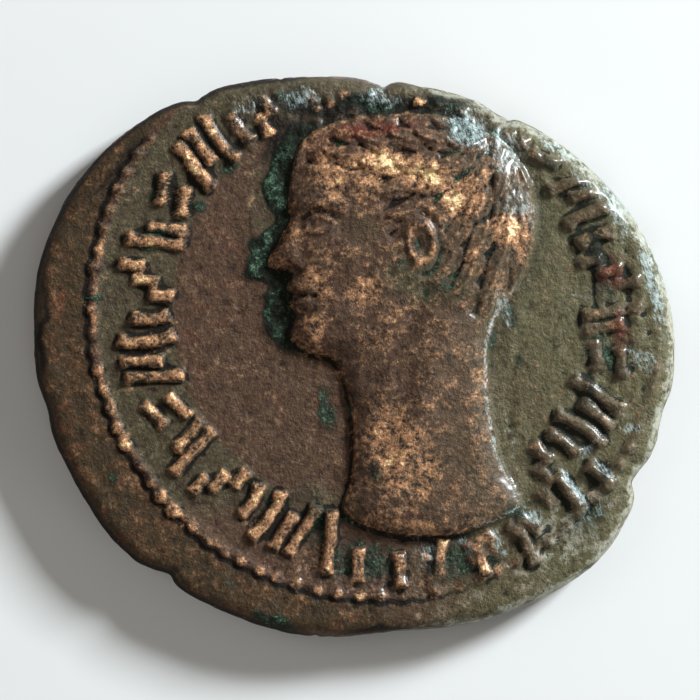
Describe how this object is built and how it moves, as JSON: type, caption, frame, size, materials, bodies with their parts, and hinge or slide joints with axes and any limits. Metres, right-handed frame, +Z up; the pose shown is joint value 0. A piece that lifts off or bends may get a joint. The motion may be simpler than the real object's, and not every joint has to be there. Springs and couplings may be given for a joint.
{
  "type": "roman bronze coin",
  "caption": "Worn struck bronze coin of oval, uneven outline, with a bare head in profile, a beaded border and a standing draped figure behind.",
  "frame": {"origin": "on the resting plane, under the middle of the flan's outline", "axes": "+Z up out of the obverse, +X to the right across the long way of the flan, +Y towards the crown of the head"},
  "size_m": [0.029, 0.0252, 0.0032],
  "materials": {
    "patinated_bronze": "worn brown and green patina"
  },
  "bodies": {
    "root": {"coin": "patinated_bronze"}
  },
  "joints": []
}
